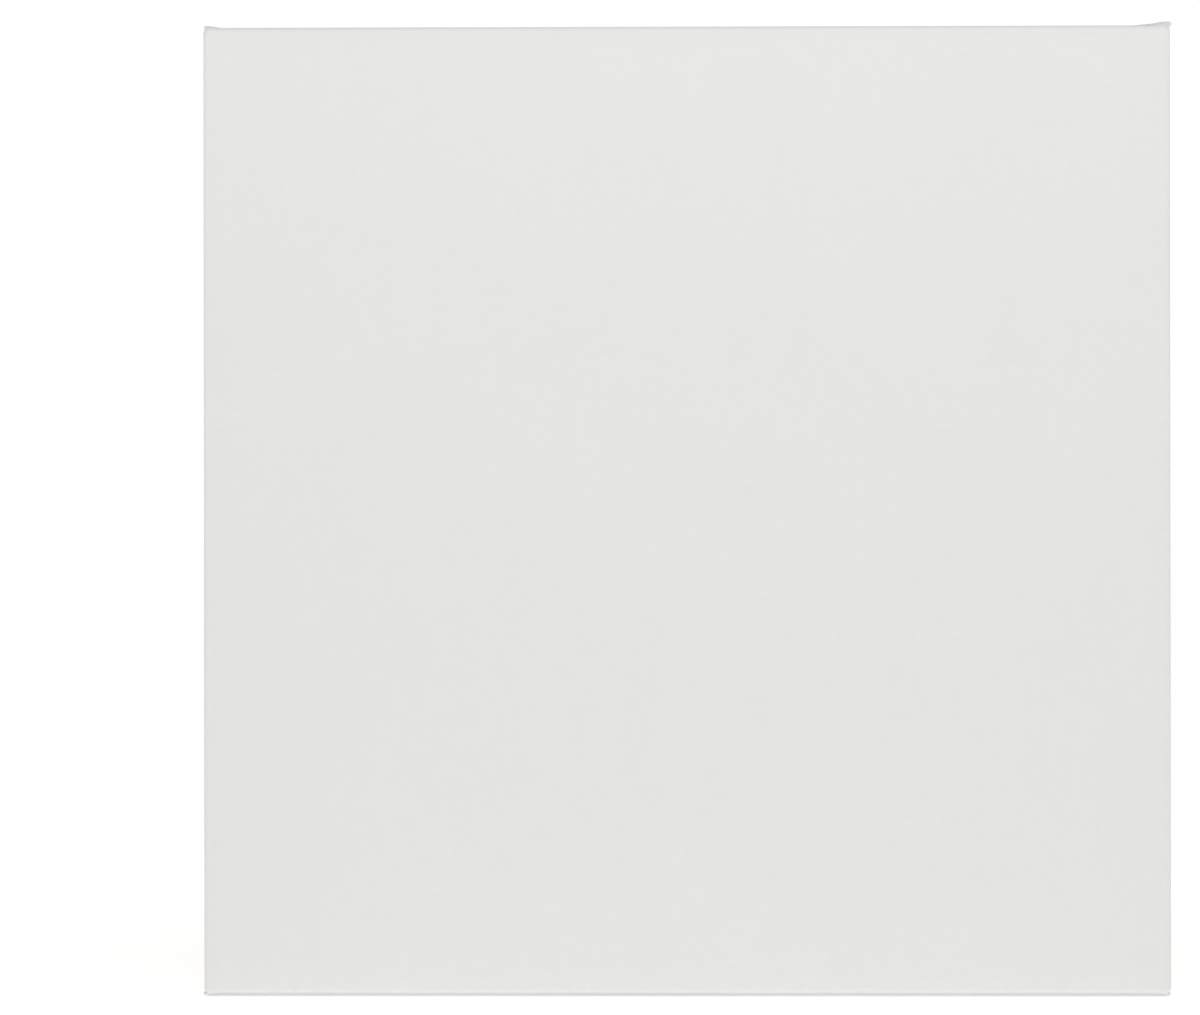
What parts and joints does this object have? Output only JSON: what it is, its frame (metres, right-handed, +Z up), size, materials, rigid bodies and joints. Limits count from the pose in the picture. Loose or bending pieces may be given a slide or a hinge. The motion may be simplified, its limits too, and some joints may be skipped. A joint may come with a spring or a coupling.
{
  "type": "stretched canvas",
  "caption": "Square blank stretched canvas: white primed cloth folded over a mitred frame of wooden stretcher bars, stapled at the back, with wedge keys at the inner corners.",
  "frame": {"origin": "middle of the whole object's bottom, in plan and in depth, on the surface it stands on", "axes": "-Y is the way the painting face looks, +Y is the open back, +Z is up and +X is to the right as the painting face is seen"},
  "size_m": [0.3048, 0.0196, 0.3068],
  "materials": {
    "pine": "planed, unfinished",
    "beech": "sawn, unfinished",
    "primed_cotton": "matt white primer on woven cotton",
    "staple_steel": "galvanised wire"
  },
  "bodies": {
    "frame": {"bar_top": "pine", "bar_right": "pine", "bar_bottom": "pine", "bar_left": "pine", "canvas": "primed_cotton", "staple_top_1": "staple_steel", "staple_top_2": "staple_steel", "staple_top_3": "staple_steel", "staple_top_4": "staple_steel", "staple_top_5": "staple_steel", "staple_top_6": "staple_steel", "staple_top_7": "staple_steel", "staple_corner_top_right": "staple_steel", "staple_right_1": "staple_steel", "staple_right_2": "staple_steel", "staple_right_3": "staple_steel", "staple_right_4": "staple_steel", "staple_right_5": "staple_steel", "staple_right_6": "staple_steel", "staple_right_7": "staple_steel", "staple_corner_bottom_right": "staple_steel", "staple_bottom_1": "staple_steel", "staple_bottom_2": "staple_steel", "staple_bottom_3": "staple_steel", "staple_bottom_4": "staple_steel", "staple_bottom_5": "staple_steel", "staple_bottom_6": "staple_steel", "staple_bottom_7": "staple_steel", "staple_corner_bottom_left": "staple_steel", "staple_left_1": "staple_steel", "staple_left_2": "staple_steel", "staple_left_3": "staple_steel", "staple_left_4": "staple_steel", "staple_left_5": "staple_steel", "staple_left_6": "staple_steel", "staple_left_7": "staple_steel", "staple_corner_top_left": "staple_steel"},
    "key_top_right_a": {"key_top_right_a": "beech"},
    "key_top_right_b": {"key_top_right_b": "beech"},
    "key_bottom_right_a": {"key_bottom_right_a": "beech"},
    "key_bottom_right_b": {"key_bottom_right_b": "beech"},
    "key_bottom_left_a": {"key_bottom_left_a": "beech"},
    "key_bottom_left_b": {"key_bottom_left_b": "beech"},
    "key_top_left_a": {"key_top_left_a": "beech"},
    "key_top_left_b": {"key_top_left_b": "beech"}
  },
  "joints": [
    {"name": "pull_key_top_right_a", "type": "slide", "parent": "frame", "child": "key_top_right_a", "axis": [0, 0, -1], "range_m": [0, 0.018]},
    {"name": "pull_key_top_right_b", "type": "slide", "parent": "frame", "child": "key_top_right_b", "axis": [-1, 0, 0], "range_m": [0, 0.018]},
    {"name": "pull_key_bottom_right_a", "type": "slide", "parent": "frame", "child": "key_bottom_right_a", "axis": [-1, 0, 0], "range_m": [0, 0.018]},
    {"name": "pull_key_bottom_right_b", "type": "slide", "parent": "frame", "child": "key_bottom_right_b", "axis": [0, 0, 1], "range_m": [0, 0.018]},
    {"name": "pull_key_bottom_left_a", "type": "slide", "parent": "frame", "child": "key_bottom_left_a", "axis": [0, 0, 1], "range_m": [0, 0.018]},
    {"name": "pull_key_bottom_left_b", "type": "slide", "parent": "frame", "child": "key_bottom_left_b", "axis": [1, 0, 0], "range_m": [0, 0.018]},
    {"name": "pull_key_top_left_a", "type": "slide", "parent": "frame", "child": "key_top_left_a", "axis": [1, 0, 0], "range_m": [0, 0.018]},
    {"name": "pull_key_top_left_b", "type": "slide", "parent": "frame", "child": "key_top_left_b", "axis": [0, 0, -1], "range_m": [0, 0.018]}
  ]
}
